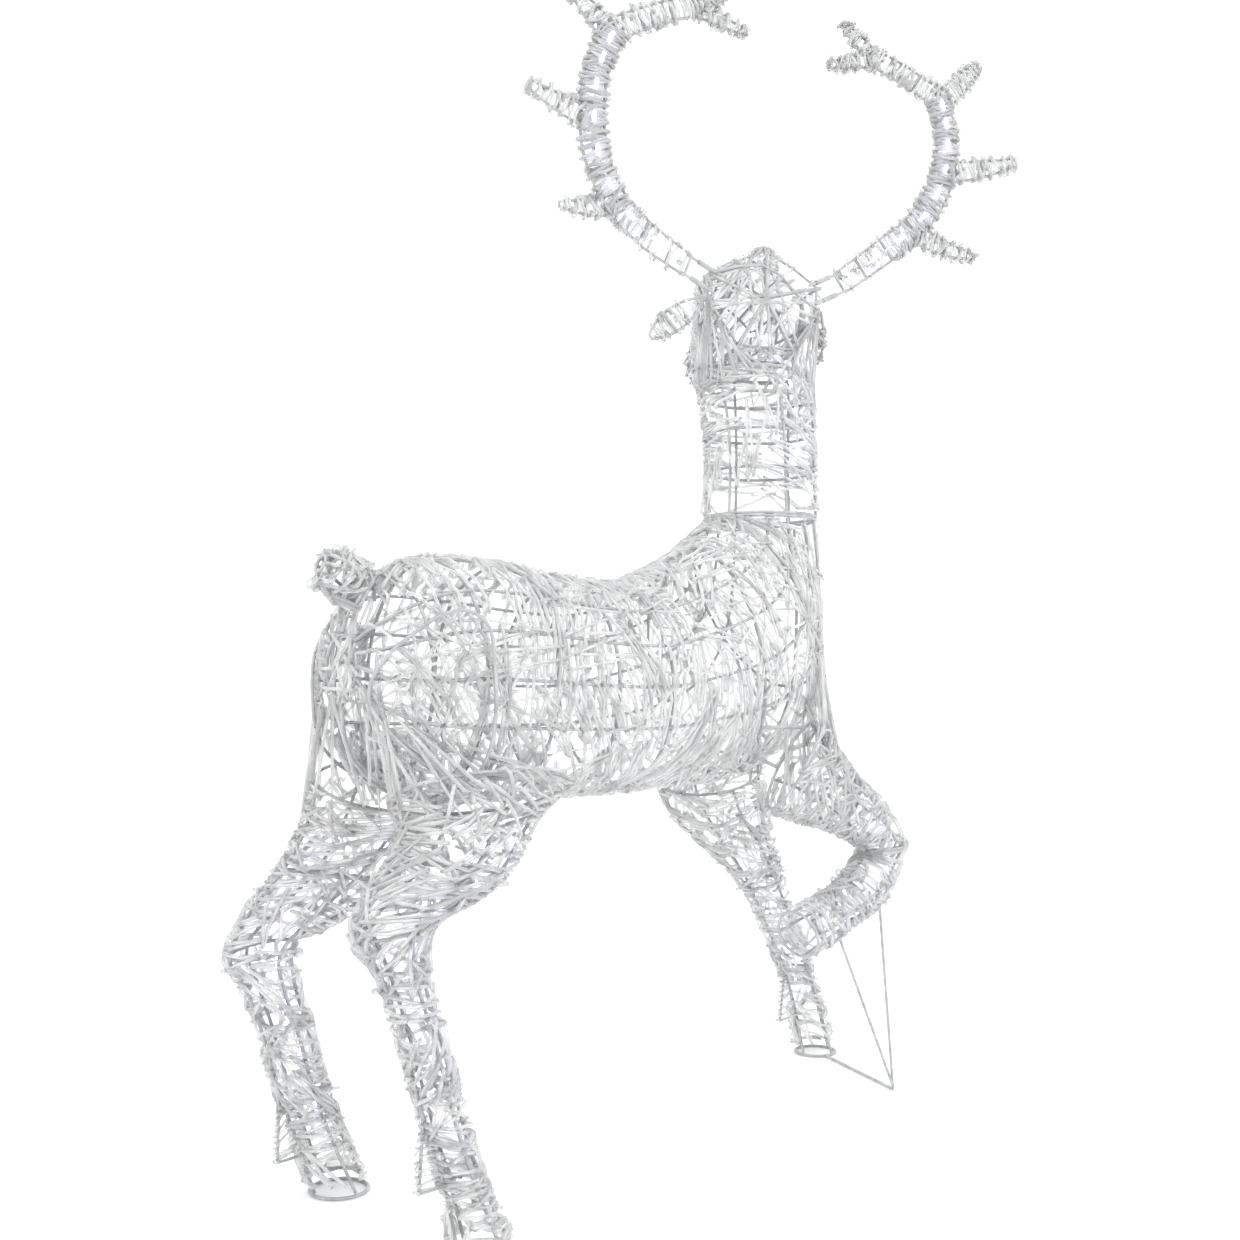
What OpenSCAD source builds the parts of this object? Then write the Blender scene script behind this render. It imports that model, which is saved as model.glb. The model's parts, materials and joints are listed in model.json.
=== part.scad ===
// Light-up yard stag: white steel wire frames wound with clear thread, seated in sections.
// +X is the way the body faces, +Y is the animal's left, +Z is up and z = 0 is the ground.

/* [Wire] */
// Diameter of the steel frame wire
wire_d = 4; // [3:0.5:5]
// Thickness of the layer of wound thread
thread_layer = 1.4; // [1:0.1:2]
// Gap between the frame wire and the thread layer
thread_gap = 1; // [0.6:0.1:1.5]

/* [Body] */
// Radius of the collar ring that the neck stands on
collar_r = 76; // [70:82]
// Height of the collar ring above the ground
collar_z = 800; // [780:820]
// Distance of the neck axis ahead of the body's own centre mark
neck_x = 175; // [165:185]

/* [Legs] */
// Height of the left hind leg's hock
hock_left = 290; // [280:300]
// Height of the right hind leg's hock
hock_right = 342; // [330:350]
// Radius of the left hind leg below the hock
shank_left = 28; // [24:30]
// Radius of the right hind leg below the hock
shank_right = 22; // [20:28]
// Half length of the left hind leg's top ring
thigh_left = 96; // [86:104]
// Half length of the right hind leg's top ring
thigh_right = 116; // [104:122]
// Radius of a hind hoof ring
hind_hoof_r = 33; // [30:36]
// Radius of a front hoof ring
front_hoof_r = 31; // [28:34]

/* [Head] */
// How far the head is turned to the left of straight ahead, in degrees
head_turn = 66.7; // [0:80]
// Height of the neck's top above the collar
neck_h = 232; // [220:240]

/* [Antlers] */
// Half width of the antler's wire ladder
antler_w = 15; // [12:17]
// Length of prong that sits in an antler socket
prong_in = 20; // [14:24]
// How far an antler's curve is bent out (left) or in (right)
antler_bow = 12; // [0:14]

/* [Lights] */
// Diameter of a light's holder
holder_d = 5; // [4:0.5:6]
// Length of a light's holder
holder_l = 12; // [10:15]

/* [Hidden] */

wire_r = wire_d / 2;
wire_sides = 4;                // flat sides drawn round a bent wire
inner_grow = wire_r + thread_gap;
outer_grow = inner_grow + thread_layer;
round_fn = 48;
origin_shift = [46, 17, 0];    // puts the origin under the middle of the whole

steel = "white";
thread = "lightcyan";
lamp = "lavender";

// ---- paths and rings ----

function unit(v) = v / norm(v);

// One ring of a section: n points on the ellipse with centre s[0] and half axes s[1] and s[2]
function ring(s, n, grow = 0) = [for (k = [0 : n - 1])
    s[0] + cos(360 * k / n) * s[1] * (1 + grow / norm(s[1]))
         + sin(360 * k / n) * s[2] * (1 + grow / norm(s[2]))];

function path_dir(p, i, closed) = let (n = len(p))
    unit(p[closed ? (i + 1) % n : min(i + 1, n - 1)]
       - p[closed ? (i + n - 1) % n : max(i - 1, 0)]);

// Corner radius that gives a flat-sided wire the cross-section area of a round one
function corner_r(d) = d / 2 * sqrt(2 * PI / (wire_sides * sin(360 / wire_sides)));

// A closed solid between two rings of points
module slab(a, b) {
    n = len(a);
    hull() polyhedron(concat(a, b),
        [[for (k = [0 : n - 1]) k], [for (k = [n - 1 : -1 : 0]) n + k]]);
}

// A bent wire along the points p; side is a direction that p never runs along
module wire(p, side, closed = false, d = wire_d) {
    n = len(p);
    s = wire_sides;
    points = [for (i = [0 : n - 1])
        let (t = path_dir(p, i, closed), a = unit(cross(t, side)), b = cross(t, a))
        for (k = [0 : s - 1])
            p[i] + corner_r(d) * (cos(360 * k / s) * a + sin(360 * k / s) * b)];
    skin = [for (i = [0 : n - (closed ? 1 : 2)], k = [0 : s - 1])
        let (j = (i + 1) % n, m = (k + 1) % s)
        each [[i * s + k, j * s + k, j * s + m], [i * s + k, j * s + m, i * s + m]]];
    ends = closed ? [] :
        [[for (k = [0 : s - 1]) k], [for (k = [s - 1 : -1 : 0]) (n - 1) * s + k]];
    polyhedron(points, concat(skin, ends));
}

// A direction that the line from a to b doesn't run along
function off_axis(a, b) = abs(unit(b - a)[2]) > 0.8 ? [1, 0, 0] : [0, 0, 1];

// A straight wire between two points
module rod(a, b, d = wire_d) {
    hull() wire([a, b], off_axis(a, b), d = d);
}

// A spot weld inside the place where two wires cross
module spot_weld(p) {
    translate(p)
        hull() {
            cube([0.3, 0.15, 0.15] * wire_d, center = true);
            cube([0.15, 0.3, 0.3] * wire_d, center = true);
        }
}

// Draws its children along a line from a towards b, as if along +Z
module aimed(a, b) {
    d = b - a;
    translate(a)
        rotate([0, acos(d[2] / norm(d)), atan2(d[1], d[0])]) children();
}

// A straight round bar between two points
module bar(a, b, r = wire_r) {
    aimed(a, b) cylinder(h = norm(b - a), r = r, $fn = 24);
}

// A closed solid through the rings of a section
module loft(sections, n, grow) {
    for (i = [0 : len(sections) - 2])
        slab(ring(sections[i], n, grow), ring(sections[i + 1], n, grow));
}

// The same section moved along its axis towards or away from its neighbour
function nudge(s, other, d) = [s[0] + d * unit(other[0] - s[0]), s[1], s[2]];

// Sections with their first and last ring moved outwards by d
function stretched(s, d0, d1) = let (n = len(s)) [for (i = [0 : n - 1])
    i == 0 ? nudge(s[0], s[1], -d0) : i == n - 1 ? nudge(s[n - 1], s[n - 2], -d1) : s[i]];

// The layer of wound thread: open_start and open_end leave an end of the tube open
module winding(sections, n, open_start = true, open_end = true) {
    difference() {
        loft(stretched(sections, open_start ? 0 : outer_grow, open_end ? 0 : outer_grow),
            n, outer_grow);
        loft(stretched(sections, open_start ? 6 : inner_grow, open_end ? 6 : inner_grow),
            n, inner_grow);
    }
}

// Long wires at the ring positions ks, through all the sections
module long_wires(sections, n, ks, side) {
    for (k = ks)
        wire([for (s = sections) ring(s, n)[k]], side);
}

// Hoops at the section numbers js, inside the long wires
hoop_grow = -0.6 * wire_d;

module hoops(sections, n, js) {
    for (j = js)
        wire(ring(sections[j], n, hoop_grow), cross(sections[j][1], sections[j][2]),
            closed = true);
}

// Spot welds between the hoops js and the long wires ks
module welds(sections, n, js, ks) {
    for (j = js, k = ks)
        spot_weld(ring(sections[j], n, hoop_grow / 2)[k]);
}

// ---- body ----

// A ring of the body from its back point and belly point in the middle plane, and half width
function body_ring(back, belly, half_w) = [
    [(back[0] + belly[0]) / 2, 0, (back[1] + belly[1]) / 2], [0, half_w, 0],
    [(back[0] - belly[0]) / 2, 0, (back[1] - belly[1]) / 2]];

body_n = 16;
body_sections = [
    body_ring([-504, 632], [-506, 562], 30),
    body_ring([-492, 662], [-496, 508], 64),
    body_ring([-452, 696], [-456, 468], 92),
    body_ring([-395, 716], [-400, 452], 110),
    body_ring([-300, 713], [-300, 448], 112),
    body_ring([-200, 703], [-200, 448], 106),
    body_ring([-110, 702], [-105, 448], 103),
    body_ring([-35, 724], [-10, 450], 102),
    body_ring([30, 756], [92, 455], 102),
    body_ring([64, 779], [190, 492], 98),
    body_ring([86, 793], [244, 570], 90),
    body_ring([96, 800], [256, 680], 82),
    body_ring([neck_x - collar_r, collar_z], [neck_x + collar_r, collar_z], collar_r)];
body_hoop_places = [0, 2, 3, 4, 5, 6, 8, 10];
body_longs = [0, 1, 2, 4, 6, 7, 8, 9, 12, 15];

// The rails run up to the underside of the collar ring
module body_rails() {
    top = body_ring([neck_x - collar_r, collar_z - wire_r], [neck_x + collar_r, collar_z - wire_r],
        collar_r);
    color(steel)
        long_wires([for (i = [0 : 12]) i < 12 ? body_sections[i] : top], body_n, body_longs,
            [0.05, 1, 0.1]);
}

module body_hoops() {
    color(steel) hoops(body_sections, body_n, body_hoop_places);
}

// The winding stops just below the collar ring
module body_winding() {
    below_collar = body_ring([neck_x - collar_r, collar_z - 7], [neck_x + collar_r, collar_z - 7],
        collar_r);
    color(thread)
        winding([for (i = [0 : 12]) i < 12 ? body_sections[i] : below_collar], body_n,
            open_start = false);
}

// A round ring of wire lying flat
module flat_ring(r) {
    rotate_extrude($fn = round_fn) translate([r, 0]) circle(wire_r, $fn = 24);
}

module collar_ring() {
    color(steel) translate([neck_x, 0, collar_z]) flat_ring(collar_r);
}

// Tabs inside the collar that centre the neck ring and let it turn
guide_n = 4;
guide_gap = 0.4;               // clearance round the neck ring
guide_arc = 9;                 // degrees that one tab takes
guide_t = 2.4;
ring_rise = wire_d + guide_gap;

module collar_guides() {
    face = collar_r - wire_r - guide_gap;
    color(steel) translate([neck_x, 0, collar_z])
        for (i = [0 : guide_n - 1])
            rotate([0, 0, 45 + i * 90])
                rotate_extrude(angle = guide_arc, $fn = round_fn) {
                    translate([face - guide_t, -wire_r - 0.6]) square([guide_t, ring_rise + 2.2]);
                    translate([face - guide_t, -wire_r - 0.6])
                        square([collar_r - face + guide_t, 1.2]);
                }
}

// ---- tail ----

// A leaf of wire standing up on the rump
tail_sections = [
    [[-487, 0, 680], [0, 22, 0], [20, 0, 17]],
    [[-502, 0, 692], [0, 24, 0], [17, 0, 16]],
    [[-517, 0, 699], [0, 20, 0], [11, 0, 15]],
    [[-530, 0, 702], [0, 10, 0], [5, 0, 11]]];

module tail_frame() {
    color(steel) {
        long_wires(tail_sections, 8, [0, 2, 4, 6], [0.7, 0.1, 0.7]);
        hoops(tail_sections, 8, [0, 2, 3]);
        welds(tail_sections, 8, [0, 2], [0, 2, 4, 6]);
        for (y = [-16, 16])      // feet into the rump
            rod([-475, y, 665], ring(tail_sections[0], 8, hoop_grow)[y > 0 ? 1 : 3]);
    }
}

module tail_winding() {
    color(thread) winding(tail_sections, 8, open_end = false);
}

// ---- hind legs ----

hind_y = 130;                  // hoof centre from the middle plane
leg_n = 12;
leg_longs = [0, 3, 6, 9];

// The loop that lies on the body's flank above each hind leg, as [x, y, z] for the left one
haunch_line = [
    [-400, 121, 600], [-403, 117, 636], [-420, 105, 654], [-446, 96, 650], [-470, 86, 634],
    [-492, 70, 612], [-505, 55, 585], [-506, 52, 558], [-494, 66, 532], [-474, 80, 508],
    [-448, 88, 488], [-424, 92, 478], [-406, 104, 488], [-400, 117, 520], [-399, 122, 560]];
haunch_z = 584;                // height that the feet point at
haunch_foot = 8;               // how far its feet reach in to the body's hoops

module haunch_loop() {
    color(steel) {
        wire(haunch_line, [0, 1, 0.1], closed = true);
        for (i = [0, 2, 11, 13]) {
            rod(haunch_line[i], haunch_line[i] - haunch_foot * unit([0, haunch_line[i][1],
                haunch_line[i][2] - haunch_z]));
            spot_weld(haunch_line[i]);
        }
    }
}

module haunch_loop_left() { haunch_loop(); }
module haunch_loop_right() { mirror([0, 1, 0]) haunch_loop(); }

// From the ring under the body's flank down to the hoof ring. shank is the lower leg's radius
// and thigh is the top ring's half length.
thigh_z = 463;
thigh_rear = -488;

function hind_sections(hock, shank, thigh) = let (up = thigh_z - hock) [
    [[thigh_rear + thigh, 72, thigh_z], [thigh, 0, -4], [0, 50, 27]],
    [[-407, 91, hock + 0.75 * up], [84, 0, 0], [0, 44, 8]],
    [[-444, 103, hock + 0.43 * up], [67, 0, -12], [0, 40, 0]],
    [[-495, 113, hock + 0.19 * up], [51, 0, -10], [0, 36, 0]],
    [[-526, 118, hock], [40, 0, 6], [0, 34, 0]],
    [[-516, 121, 0.865 * hock], [shank + 2, 0, 0], [0, shank, 0]],
    [[-495, 124, 0.675 * hock], [shank, 0, 0], [0, shank - 1, 0]],
    [[-474, 127, 0.455 * hock], [shank, 0, 0], [0, shank - 1, 0]],
    [[-450, 129, 0.245 * hock], [shank, 0, 0], [0, shank, 0]],
    [[-421, hind_y, wire_d], [hind_hoof_r, 0, 0], [0, hind_hoof_r, 0]]];

left_hind = hind_sections(hock_left, shank_left, thigh_left);
right_hind = hind_sections(hock_right, shank_right, thigh_right);

// The bent wire spike behind the fetlock
module dewclaw(root_top, tip, root_low) {
    wire([root_top, tip, root_low], [0, 1, 0]);
}

module hind_leg_frame(s, shank, claw_z) {
    color(steel) {
        long_wires(s, leg_n, leg_longs, [0, 0.9, 0.05]);
        hoops(s, leg_n, [0, 2, 4]);
        welds(s, leg_n, [0, 2, 4], leg_longs);
        dewclaw([-474 - shank, 127, claw_z + 74], [-502, 128, claw_z], [-440 - shank, 129, claw_z + 1]);
    }
}

// A section between a and b
function between(a, b, t) = [for (i = [0 : 2]) a[i] + t * (b[i] - a[i])];

// The winding stops short of the hoof ring
module leg_winding(s, stop) {
    last = len(s) - 1;
    end_ring = between(s[last], s[last - 1], stop);
    color(thread) winding([for (i = [0 : last]) i < last ? s[i] : end_ring], leg_n);
}

module hind_leg_left_frame() { hind_leg_frame(left_hind, shank_left, 51); }
module hind_leg_left_winding() { leg_winding(left_hind, 0.25); }
module hind_leg_right_frame() { mirror([0, 1, 0]) hind_leg_frame(right_hind, shank_right, 82); }
module hind_leg_right_winding() { mirror([0, 1, 0]) leg_winding(right_hind, 0.22); }

// A hoof ring with its underside worn flat
sole_flat = 0.4;               // how much of the wire the flat takes away

module hoof_ring(x, y, r) {
    color(steel) translate([x, y, wire_r - sole_flat])
        difference() {
            flat_ring(r);
            translate([0, 0, -wire_d - wire_r + sole_flat])
                cylinder(h = wire_d, r = r + wire_d, $fn = round_fn);
        }
}

module hoof_ring_hind_left() { hoof_ring(-421, hind_y, hind_hoof_r); }
module hoof_ring_hind_right() { hoof_ring(-421, -hind_y, hind_hoof_r); }

// ---- standing front leg, on the left ----

front_sections = [
    [[180, 94, 450], [104, 0, 14], [0, 42, 24]],
    [[205, 97, 396], [88, 0, 12], [0, 40, 8]],
    [[258, 100, 338], [52, 0, 10], [0, 35, 0]],
    [[306, 103, 280], [32, 0, 6], [0, 29, 0]],
    [[352, 105, 206], [28, 0, 0], [0, 27, 0]],
    [[390, 107, 140], [26, 0, 0], [0, 25, 0]],
    [[420, 109, 76], [27, 0, 0], [0, 26, 0]],
    [[445, 110, wire_d], [front_hoof_r, 0, 0], [0, front_hoof_r, 0]]];

module front_leg_left_frame() {
    color(steel) {
        long_wires(front_sections, leg_n, leg_longs, [0, 0.9, 0.05]);
        hoops(front_sections, leg_n, [0, 3, 5]);
        welds(front_sections, leg_n, [0, 3, 5], leg_longs);
        dewclaw([364, 107, 140], [354, 108, 64], [398, 108, 68]);
    }
}

module front_leg_left_winding() { leg_winding(front_sections, 0.2); }

module hoof_ring_front_left() { hoof_ring(445, 110, front_hoof_r); }

// ---- raised front leg, on the right ----

// From the shoulder forward to the knee, then folded back to the open hoof ring
raised_sections = [
    [[100, -116, 474], [36, 0, 54], [0, -34, 20]],
    [[150, -114, 447], [26, 0, 46], [0, -34, 6]],
    [[204, -112, 420], [20, 0, 34], [0, -33, 0]],
    [[256, -112, 395], [18, 0, 29], [0, -32, 0]],
    [[306, -112, 354], [34, 0, 4], [0, -31, 0]],
    [[270, -112, 306], [16, 0, -30], [0, -29, 0]],
    [[228, -112, 286], [8, 0, -28], [0, -27, 0]],
    [[186, -112, 272], [7, 0, -27], [0, -27, 0]],
    [[150, -112, 263], [8, 0, -29], [0, -30, 0]],
    [[116, -112, 254], [9, 0, -30], [0, -31, 0]]];

module front_leg_right_frame() {
    color(steel) {
        long_wires(raised_sections, leg_n, leg_longs, [0.05, 0.9, 0]);
        hoops(raised_sections, leg_n, [0, 2, 4, 6]);
        welds(raised_sections, leg_n, [0, 2, 4, 6], leg_longs);
    }
}

module front_leg_right_winding() { leg_winding(raised_sections, 0.5); }

module hoof_ring_front_right() {
    color(steel) translate(raised_sections[9][0])
        rotate([0, 73, 0]) flat_ring(front_hoof_r);
}

// ---- what holds the legs ----

// Hooks between each leg's top ring and the body's hoops: [point on the leg, point on the body]
clip_lines = [
    [[-302, 55, 450], [-300, 46, 463]], [[-400, 22, 436], [-400, 19, 457]],
    [[-297, -34, 440], [-300, -28, 456]], [[-402, -24, 438], [-400, -19, 457]],
    [[95, 70, 425], [89, 42, 472]], [[153, 53, 423], [90, 26, 463]],
    [[109, -83, 469], [86, -57, 485]], [[135, -107, 521], [78, -81, 521]]];
clip_r = 2.5;

module leg_clips() {
    color(steel)
        for (c = clip_lines)
            bar(c[0], c[1], clip_r);
}

// The two wires that prop the raised leg, and the one along the ground to the standing hoof
stay_ground = [357, -94, wire_r];
stay_knee = [296, -112, 283];
stay_fetlock = [200, -112, 247];

module support_stay() {
    color(steel)
        wire([stay_knee, stay_ground + [0, 0, 0.5], stay_fetlock], [0, 1, 0]);
}

module stay_foot() {
    hoof = front_sections[7][0];
    reach = front_hoof_r * unit([stay_ground[0] - hoof[0], stay_ground[1] - hoof[1]]);
    color(steel) bar(stay_ground, [hoof[0] + reach[0], hoof[1] + reach[1], wire_r]);
}

// ---- neck and head, drawn facing +X about the neck axis ----

module head_placed() {
    translate([neck_x, 0, 0]) rotate([0, 0, head_turn]) children();
}

neck_n = 12;
neck_base = collar_z + ring_rise;
neck_top = 1008;
neck_sections = [
    [[0, 0, neck_base + 5], [75, 0, 0], [0, 75, 0]],
    [[0, 0, 866], [73, 0, 0], [0, 73, 0]],
    [[2, 0, 918], [71, 0, 0], [0, 74, 0]],
    [[10, 0, 968], [66, 0, 0], [0, 78, 0]],
    [[25, 0, neck_top], [55, 0, 0], [0, 84, 0]]];
neck_longs = [0, 2, 4, 6, 8, 10];

module neck_ring() {
    color(steel) translate([neck_x, 0, neck_base]) flat_ring(collar_r);
}

// The rails stand on the neck ring
module neck_rails() {
    foot = [[0, 0, neck_base + 1], [collar_r, 0, 0], [0, collar_r, 0]];
    color(steel) head_placed()
        long_wires(concat([foot], neck_sections), neck_n, neck_longs, [0.1, 0.99, 0]);
}

module neck_hoops() {
    color(steel) head_placed() hoops(neck_sections, neck_n, [1, 2, 3, 4]);
}

module neck_winding() {
    color(thread) head_placed()
        winding([for (i = [0 : 4]) i == 0
            ? [[0, 0, neck_base + 9], [75, 0, 0], [0, 75, 0]] : neck_sections[i]], neck_n);
}

// The head's outline across: a gable on top, full cheeks, a narrow jaw
head_outline = [[1, 0.35], [0.55, 0.7], [0, 1], [-0.55, 0.7], [-1, 0.35],
    [-0.94, -0.3], [-0.5, -1], [0.5, -1], [0.94, -0.3]];
head_n = len(head_outline);

function head_section(x, z, half_w, half_h) = [[x, 0, z], [0, half_w, 0], [0, 0, half_h]];

function head_ring(s, grow = 0) = [for (p = head_outline)
    s[0] + p[0] * s[1] * (1 + grow / norm(s[1])) + p[1] * s[2] * (1 + grow / norm(s[2]))];

head_sections = [
    head_section(-14, 1102, 84, 68),
    head_section(24, 1095, 81, 72),
    head_section(66, 1085, 66, 66),
    head_section(112, 1070, 46, 54),
    head_section(156, 1056, 33, 41),
    head_section(190, 1047, 25, 29)];
head_last = len(head_sections) - 1;

module head_loft(grow, push) {
    s = stretched(head_sections, push, push);
    for (i = [0 : head_last - 1])
        slab(head_ring(s[i], grow), head_ring(s[i + 1], grow));
}

// Ties that join the head to the neck's top ring: [point on the head, point on the ring]
head_ties = [
    [head_ring(head_sections[0])[6], [25 - 55 * cos(30), -40, neck_top - 3]],
    [head_ring(head_sections[0])[7], [25 - 55 * cos(30), 40, neck_top - 3]],
    [[66, 0, 1022], [76, 0, neck_top - 3]]];

module head_rails() {
    color(steel) head_placed() {
        for (k = [0 : head_n - 1])
            wire([for (s = head_sections) head_ring(s)[k]], [0, 0.3, 0.95]);
        for (t = head_ties)
            rod(t[0], t[1]);
    }
}

module head_hoops() {
    color(steel) head_placed() {
        for (s = head_sections)
            wire(head_ring(s, hoop_grow), [1, 0, 0], closed = true);
        for (k = [0, 2, 4, 6, 7]) {   // bracing of the back plate
            rod(head_ring(head_sections[0], hoop_grow)[k], head_sections[0][0]);
            spot_weld(head_ring(head_sections[0], hoop_grow)[k]);
        }
    }
}

// The antler's base, the way that its prongs point, and the line across them
antler_base = [-16, 116, 1135];
antler_dir = unit([0, 0.903, 0.43]);
antler_across = cross([1, 0, 0], antler_dir);
prong_offset = antler_w - wire_r;
socket_out = 11;               // from the antler's base in to the socket's mouth
socket_r = wire_r + 1.6;
prong_fit = 0.08;              // clearance round a prong in its socket
stub_l = 14;                   // solid stem that joins a socket to the head frame

// A point on prong i (1 upper, -1 lower), d inwards from the antler's base
function prong_point(i, d) = antler_base + i * prong_offset * antler_across - d * antler_dir;

module both_sides() {
    children();
    mirror([0, 1, 0]) children();
}

module head_winding() {
    color(thread) head_placed()
        difference() {
            head_loft(outer_grow, outer_grow);
            head_loft(inner_grow, inner_grow);
            for (t = head_ties)
                rod(t[0], t[1] - [0, 0, 6], d = wire_d + 5);
            both_sides()
                for (i = [-1, 1])
                    rod(prong_point(i, socket_out + 6), prong_point(i, 60), d = 2 * socket_r + 3);
        }
}

// Tubes on the corners of the head that the antlers plug into
module antler_sockets() {
    color(steel) head_placed() both_sides()
        for (i = [-1, 1])
            aimed(prong_point(i, socket_out), prong_point(i, 60))
                difference() {
                    union() {
                        cylinder(h = prong_in + 4, r = socket_r, $fn = round_fn);
                        translate([0, 0, prong_in + 3])
                            cylinder(h = stub_l, r = wire_r, $fn = round_fn);
                    }
                    translate([0, 0, -1])
                        cylinder(h = prong_in + 2, r = wire_r + prong_fit, $fn = round_fn);
                }
}

// ---- ears ----

ear_left_line = [[-8, 93, 1094], [-12, 168, 1036]];
ear_right_line = [[-2, 93, 1096], [30, 106, 1032]];
ear_shape = [[0, 4], [0.3, 13], [0.62, 15], [0.88, 9], [1, 3]];

// Sections along an ear; across is the way that its width lies
function ear_sections(line, across) = [for (e = ear_shape)
    [line[0] + e[0] * (line[1] - line[0]), e[1] * unit(across),
     3 * unit(cross(line[1] - line[0], across))]];

ear_left_parts = ear_sections(ear_left_line, [0, 54, 60]);
ear_right_parts = ear_sections(ear_right_line, [68, 0, 34]);

module ear_frame(parts, line) {
    color(steel) head_placed() {
        wire(concat([for (s = parts) s[0] + s[1]], [for (i = [4 : -1 : 0])
            parts[i][0] - parts[i][1]]), cross(line[1] - line[0], parts[0][1]));
        for (s = [parts[0], parts[2]]) {
            rod(s[0] - s[1], s[0] + s[1]);
            spot_weld(s[0] - s[1]);
            spot_weld(s[0] + s[1]);
        }
        spot_weld(line[0]);
        rod(line[0], [-13, sign(line[0][1]) * 79, line[0][2]]);
    }
}

module ear_winding(parts) {
    color(thread) head_placed() winding(parts, 10, open_end = false);
}

module ear_left_frame() { ear_frame(ear_left_parts, ear_left_line); }
module ear_left_winding() { ear_winding(ear_left_parts); }

function mirrored(parts) = [for (s = parts) [for (v = s) [v[0], -v[1], v[2]]]];

module ear_right_frame() {
    ear_frame(mirrored(ear_right_parts), [for (v = ear_right_line) [v[0], -v[1], v[2]]]);
}
module ear_right_winding() { ear_winding(mirrored(ear_right_parts)); }

// ---- antlers, drawn for the left side ----

// Each branch is a list of [point, half width, share of the bow]
trunk = [[antler_base, antler_w, 0], [[-24, 146, 1152], 16, 0.4], [[-34, 184, 1175], 17, 0.8],
    [[-48, 222, 1203], 17, 1], [[-58, 246, 1238], 17, 1], [[-68, 259, 1271], 17, 1],
    [[-76, 262, 1308], 16, 1], [[-80, 259, 1341], 15, 1], [[-84, 250, 1368], 15, 1],
    [[-86, 240, 1390], 17, 1]];
crown = [[[-86, 240, 1390], 15, 1], [[-85, 205, 1408], 13, 1], [[-82, 166, 1426], 13, 1],
    [[-78, 128, 1440], 11, 1]];
fork_upper = [[[-78, 134, 1440], 9, 1], [[-74, 110, 1458], 8, 0.7], [[-70, 88, 1474], 3, 0.3]];
fork_lower = [[[-78, 136, 1436], 9, 1], [[-74, 98, 1429], 8, 1], [[-70, 62, 1420], 3, 1]];
tine_lower = [[[-48, 224, 1200], 14, 1], [[-52, 270, 1186], 10, 0.5], [[-56, 312, 1181], 3, 0]];
tine_middle = [[[-74, 262, 1286], 14, 1], [[-80, 314, 1298], 11, 0.5], [[-84, 362, 1314], 5, 0]];
tine_upper = [[[-86, 246, 1386], 13, 1], [[-82, 272, 1412], 12, 0.5], [[-78, 298, 1440], 7, 0]];
bow_centre = [0, 120, 1300];

// The point of q moved out from the curve's centre by its share of bow
function bowed(q, bow) = let (d = q[0] - bow_centre)
    [q[0] + bow * q[2] * unit([0, d[1], d[2]]), q[1]];

function bow_all(branches, bow) = [for (b = branches) [for (q = b) bowed(q, bow)]];

antler_stems = [trunk, crown];
antler_tines = [fork_upper, fork_lower, tine_lower, tine_middle, tine_upper];
antler_depth = 5;              // half thickness of a branch from front to back
antler_n = 8;

function branch_sections(b) = [for (i = [0 : len(b) - 1])
    let (t = path_dir([for (q = b) q[0]], i, false), across = unit(cross([1, 0, 0], t)))
    [b[i][0], b[i][1] * across, antler_depth * [1, 0, 0]]];

module antler_frame(bow) {
    for (b = bow_all(antler_stems, bow)) {
        s = branch_sections(b);
        long_wires(s, 2, [0, 1], [1, 0, 0]);
        for (r = s)
            rod(r[0] - r[1], r[0] + r[1]);
    }
    for (b = bow_all(antler_tines, bow)) {
        s = branch_sections(b);
        wire(concat([for (r = s) r[0] + r[1]], [for (i = [2 : -1 : 0]) s[i][0] - s[i][1]]),
            [1, 0, 0]);
        rod(s[1][0] - s[1][1], s[1][0] + s[1][1]);
    }
}

module antler_loft(branches, grow, push) {
    for (i = [0 : len(branches) - 1])
        loft(stretched(branch_sections(branches[i]), i == 0 ? push[0] : 0, push[1]),
            antler_n, grow);
}

module antler_winding(bow) {
    branches = bow_all(concat(antler_stems, antler_tines), bow);
    difference() {
        antler_loft(branches, outer_grow, [0, outer_grow]);
        antler_loft(branches, inner_grow, [6, inner_grow]);
    }
}

// The trunk's middle line behind the rungs, where the lights' lead runs
lead_back = 5.2;

function trunk_line(bow) = [for (b = bow_all([trunk], bow), q = b) q[0] - [lead_back, 0, 0]];

module antler_lead(bow) {
    p = trunk_line(bow);
    wire([for (i = [1 : len(p) - 2]) p[i]], [1, 0, 0], d = lead_d);
}

module antler_lights(bow) {
    p = trunk_line(bow);
    for (i = [1 : len(p) - 2])
        led((p[i] + p[i + 1]) / 2, p[i + 1] - p[i]);
}

// The bare wire ends that plug into the head
module antler_prongs() {
    for (i = [-1, 1])
        aimed(prong_point(i, -8), prong_point(i, 60))
            cylinder(h = 8 + socket_out + prong_in, r = wire_r, $fn = round_fn);
}

module left_antler() {
    head_placed() children();
}

module right_antler() {
    head_placed() mirror([0, 1, 0]) children();
}

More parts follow.
